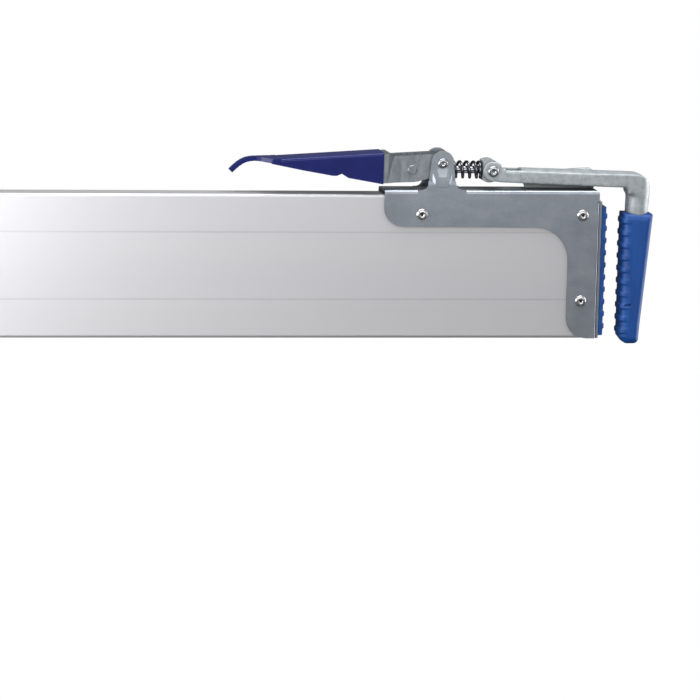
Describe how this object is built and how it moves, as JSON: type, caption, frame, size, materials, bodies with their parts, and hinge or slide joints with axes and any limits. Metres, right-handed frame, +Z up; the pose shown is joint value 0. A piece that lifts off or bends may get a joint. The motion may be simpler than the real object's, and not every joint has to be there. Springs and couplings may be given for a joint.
{
  "type": "load securing plank",
  "caption": "Long hollow aluminium plank with a sprung over-centre lever clamp at each end that grips a truck body's side walls.",
  "frame": {"origin": "middle of the plank's bottom face", "axes": "+X along the plank to the right-hand clamp, +Z up, the seen face looks along -Y"},
  "size_m": [2.5736, 0.0388, 0.2019],
  "materials": {
    "extruded_aluminium": "extruded, natural",
    "zinc_sheet": "zinc plated",
    "rivet_aluminium": "bright",
    "zinc_steel": "zinc plated",
    "grip_blue": "dipped, glossy",
    "spring_steel": "oiled spring steel",
    "galvanised_casting": "galvanised, rough",
    "rubber_blue": "moulded"
  },
  "bodies": {
    "plank": {"plank_profile": "extruded_aluminium", "end_bracket_right": "zinc_sheet", "bracket_rivets_right": "rivet_aluminium", "pad_plate_right": "zinc_sheet", "end_pad_right": "rubber_blue", "pivot_rivets_right": "zinc_steel", "end_bracket_left": "zinc_sheet", "bracket_rivets_left": "rivet_aluminium", "pad_plate_left": "zinc_sheet", "end_pad_left": "rubber_blue", "pivot_rivets_left": "zinc_steel"},
    "lever_right": {"lever_right": "zinc_sheet", "handle_grip_right": "grip_blue", "lever_pin_right": "zinc_steel"},
    "rod_right": {"rod_barrel_right": "zinc_steel", "draw_rod_right": "zinc_steel", "rod_collar_right": "zinc_steel", "lock_nut_right": "zinc_steel", "spring_right": "spring_steel"},
    "slider_right": {"trunnion_block_right": "galvanised_casting", "arm_pins_right": "zinc_steel"},
    "arm_right": {"hook_arm_right": "galvanised_casting", "claw_sleeve_right": "rubber_blue"},
    "lever_left": {"lever_left": "zinc_sheet", "handle_grip_left": "grip_blue", "lever_pin_left": "zinc_steel"},
    "rod_left": {"rod_barrel_left": "zinc_steel", "draw_rod_left": "zinc_steel", "rod_collar_left": "zinc_steel", "lock_nut_left": "zinc_steel", "spring_left": "spring_steel"},
    "slider_left": {"trunnion_block_left": "galvanised_casting", "arm_pins_left": "zinc_steel"},
    "arm_left": {"hook_arm_left": "galvanised_casting", "claw_sleeve_left": "rubber_blue"}
  },
  "joints": [
    {"name": "lever_hinge_right", "type": "hinge", "parent": "plank", "child": "lever_right", "pos_m": [1.0603, 0, 0.1825], "axis": [0, 1, 0], "range_deg": [0, 125]},
    {"name": "rod_hinge_right", "type": "hinge", "parent": "lever_right", "child": "rod_right", "pos_m": [1.029, 0, 0.1752], "axis": [0, 1, 0], "range_deg": [-125, 0]},
    {"name": "spring_slide_right", "type": "slide", "parent": "rod_right", "child": "slider_right", "axis": [-0.9999, 0, 0.0141], "range_m": [0, 0.008], "stiffness_N_per_m": 35500, "springref_m": -0.004, "deforming": ["spring_right"]},
    {"name": "arm_hinge_right", "type": "hinge", "parent": "slider_right", "child": "arm_right", "pos_m": [1.1143, 0, 0.174], "axis": [0, -1, 0], "range_deg": [0, 55]},
    {"name": "lever_hinge_left", "type": "hinge", "parent": "plank", "child": "lever_left", "pos_m": [-1.0603, 0, 0.1825], "axis": [0, -1, 0], "range_deg": [0, 125]},
    {"name": "rod_hinge_left", "type": "hinge", "parent": "lever_left", "child": "rod_left", "pos_m": [-1.029, 0, 0.1752], "axis": [0, -1, 0], "range_deg": [-125, 0]},
    {"name": "spring_slide_left", "type": "slide", "parent": "rod_left", "child": "slider_left", "axis": [0.9999, 0, 0.0141], "range_m": [0, 0.008], "stiffness_N_per_m": 35500, "springref_m": -0.004, "deforming": ["spring_left"]},
    {"name": "arm_hinge_left", "type": "hinge", "parent": "slider_left", "child": "arm_left", "pos_m": [-1.1143, 0, 0.174], "axis": [0, 1, 0], "range_deg": [0, 55]}
  ],
  "couplings": [
    {"joint": "rod_hinge_right", "follows": "lever_hinge_right", "ratio": -1},
    {"joint": "rod_hinge_left", "follows": "lever_hinge_left", "ratio": -1}
  ]
}
